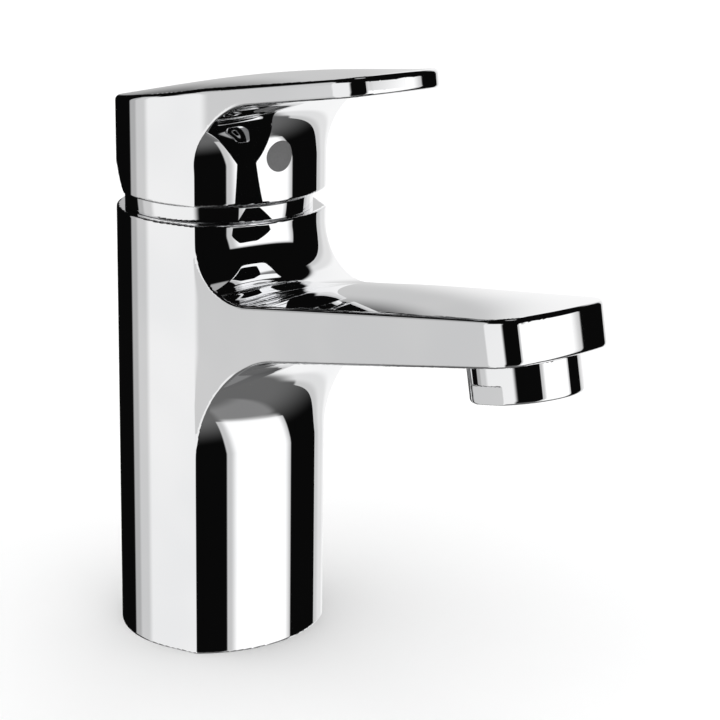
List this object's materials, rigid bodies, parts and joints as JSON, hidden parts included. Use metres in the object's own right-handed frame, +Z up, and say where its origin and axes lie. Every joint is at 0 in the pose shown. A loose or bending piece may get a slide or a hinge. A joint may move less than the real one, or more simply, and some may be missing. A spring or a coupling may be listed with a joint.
{
  "type": "basin mixer faucet",
  "caption": "Single-lever basin mixer faucet: upright body with a flat rising spout, aerator and a lever that turns and lifts.",
  "frame": {"origin": "centre of the base recess in the plane of the deck, on the body's vertical axis", "axes": "+Z up along the body, -Y along the spout, +X across it"},
  "size_m": [0.05, 0.145, 0.1477],
  "materials": {
    "chrome": "polished chrome plate on brass",
    "rubber": "matt black rubber",
    "cartridge_plastic": "off-white moulded plastic",
    "guide_plastic": "black glass-filled plastic",
    "carrier_plastic": "blue moulded plastic",
    "stop_plastic": "red moulded plastic",
    "outlet_plastic": "pale grey moulded plastic",
    "ceramic": "lapped alumina ceramic",
    "steel": "turned stainless steel",
    "brass": "turned brass",
    "indicator": "smooth mid-grey plastic"
  },
  "bodies": {
    "tap_body": {"body": "chrome", "base_gasket": "rubber", "cartridge_base": "cartridge_plastic", "hot_inlet_seal": "rubber", "cold_inlet_seal": "rubber", "outlet_seal": "rubber", "locating_pins": "steel", "fixed_disc": "ceramic", "cartridge_housing": "cartridge_plastic", "housing_seal": "rubber", "temperature_ring": "stop_plastic", "cartridge_nut": "brass", "nut_seal": "rubber", "cover_ring": "chrome", "aerator_collar": "chrome", "aerator_washer": "rubber", "jet_regulator": "outlet_plastic", "flow_straightener": "outlet_plastic"},
    "guide": {"stem_guide": "guide_plastic", "pivot_pin": "steel", "glide_ring": "cartridge_plastic"},
    "handle": {"lever": "chrome", "lever_stem": "brass", "lever_bush": "guide_plastic", "lever_screw": "steel", "indicator_plug": "indicator"},
    "carrier": {"disc_carrier": "carrier_plastic", "moving_disc": "ceramic"}
  },
  "joints": [
    {"name": "lever_turn", "type": "hinge", "parent": "tap_body", "child": "guide", "pos_m": [0, 0, 0.104], "axis": [0, 0, 1], "range_deg": [-45, 45]},
    {"name": "lever_lift", "type": "hinge", "parent": "guide", "child": "handle", "pos_m": [0, 0, 0.104], "axis": [-1, 0, 0], "range_deg": [0, 20]},
    {"name": "disc_slide", "type": "slide", "parent": "guide", "child": "carrier", "axis": [0, -1, 0], "range_m": [0, 0.0032]}
  ],
  "couplings": [
    {"joint": "disc_slide", "follows": "lever_lift", "m_per_rad": 0.008755}
  ]
}
